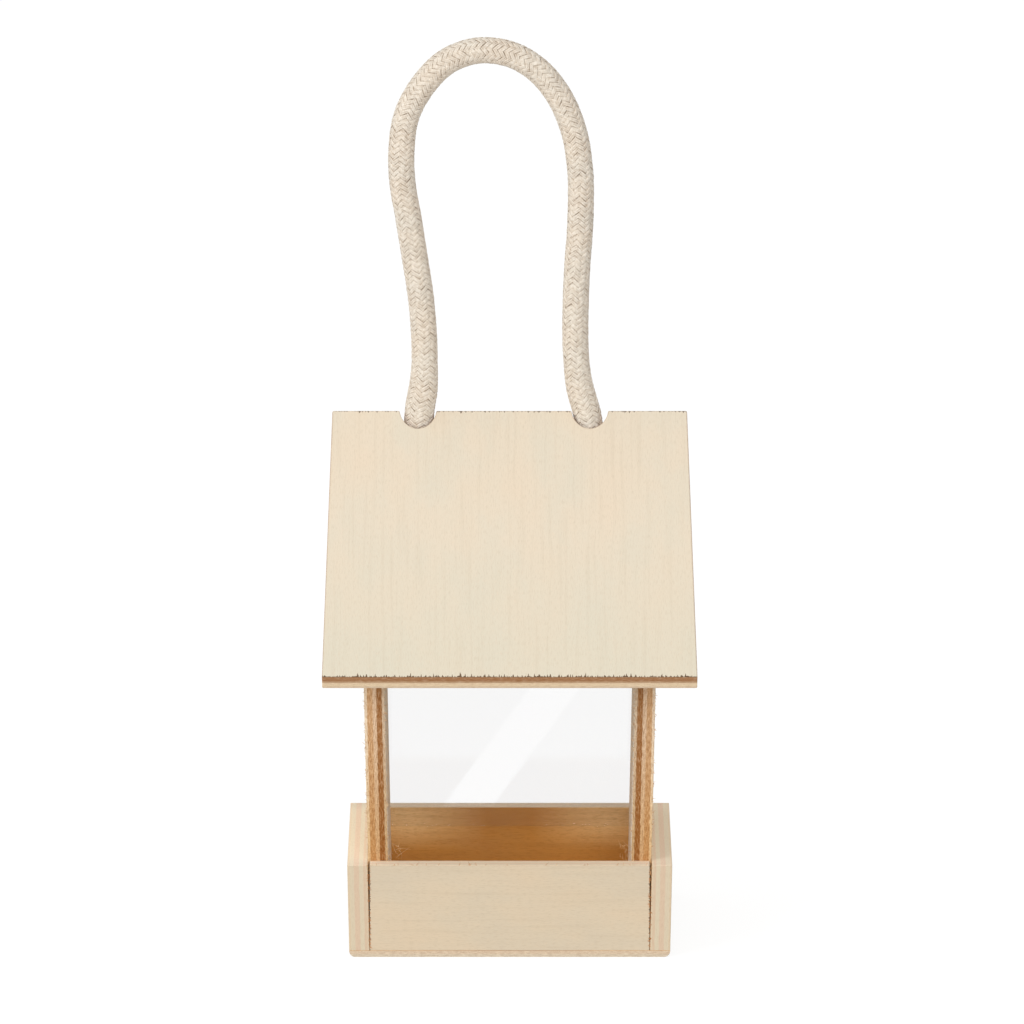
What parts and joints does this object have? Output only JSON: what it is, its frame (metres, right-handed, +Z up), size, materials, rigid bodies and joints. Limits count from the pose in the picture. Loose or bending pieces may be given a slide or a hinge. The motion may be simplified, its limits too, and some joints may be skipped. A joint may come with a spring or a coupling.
{
  "type": "hanging bird feeder",
  "caption": "Small open-fronted plywood bird feeder with a low seed tray, clear rear window, gable roof and a braided rope loop to hang it by.",
  "frame": {"origin": "middle of the underside of the base board, on the surface the feeder stands on", "axes": "+Z up through the ridge, +X to the feeder's right as seen from its open front, +Y from the open front to the window"},
  "size_m": [0.1144, 0.1378, 0.28],
  "materials": {
    "roof_plywood": "raw, sanded birch-faced plywood",
    "side_plywood": "raw plywood with bare edges",
    "panel_plywood": "raw, sanded plywood",
    "base_plywood": "raw, sanded thin plywood",
    "clear_acrylic": "clear, polished sheet",
    "cotton_rope": "braided undyed cotton"
  },
  "bodies": {
    "root": {"base_board": "base_plywood", "left_cheek": "side_plywood", "right_cheek": "side_plywood", "front_panel": "panel_plywood", "back_panel": "panel_plywood", "left_wall": "side_plywood", "right_wall": "side_plywood", "window_pane": "clear_acrylic", "front_roof_board": "roof_plywood", "back_roof_board": "roof_plywood", "rope_handle": "cotton_rope", "left_knot": "cotton_rope", "right_knot": "cotton_rope"}
  },
  "joints": []
}
